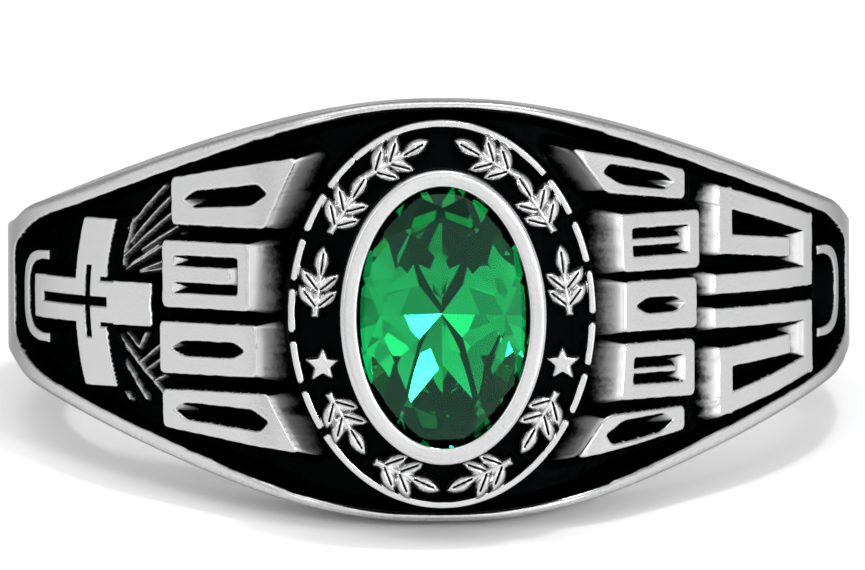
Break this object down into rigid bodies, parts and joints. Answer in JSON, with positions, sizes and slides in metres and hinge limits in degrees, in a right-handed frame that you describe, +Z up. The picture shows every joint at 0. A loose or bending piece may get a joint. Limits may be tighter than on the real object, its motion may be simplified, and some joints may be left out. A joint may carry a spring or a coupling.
{
  "type": "class ring",
  "caption": "Heavy cast finger ring with a raised oval plaque, a bezel-set green oval stone and relief panels of key pattern and a cross.",
  "frame": {"origin": "middle of the bottom of the ring's box, on the surface that it lies on", "axes": "+Z up; the ring lies on its side with its head towards -Y and its finger hole close to upright; X across the head, symmetric in outline"},
  "size_m": [0.0212, 0.0244, 0.0106],
  "materials": {
    "oxidised_silver": "polished white metal on the raised parts, blackened in the sunk background",
    "green_stone": "polished emerald-green synthetic stone, faceted"
  },
  "bodies": {
    "root": {"ring_body": "oxidised_silver", "stone": "green_stone"}
  },
  "joints": []
}
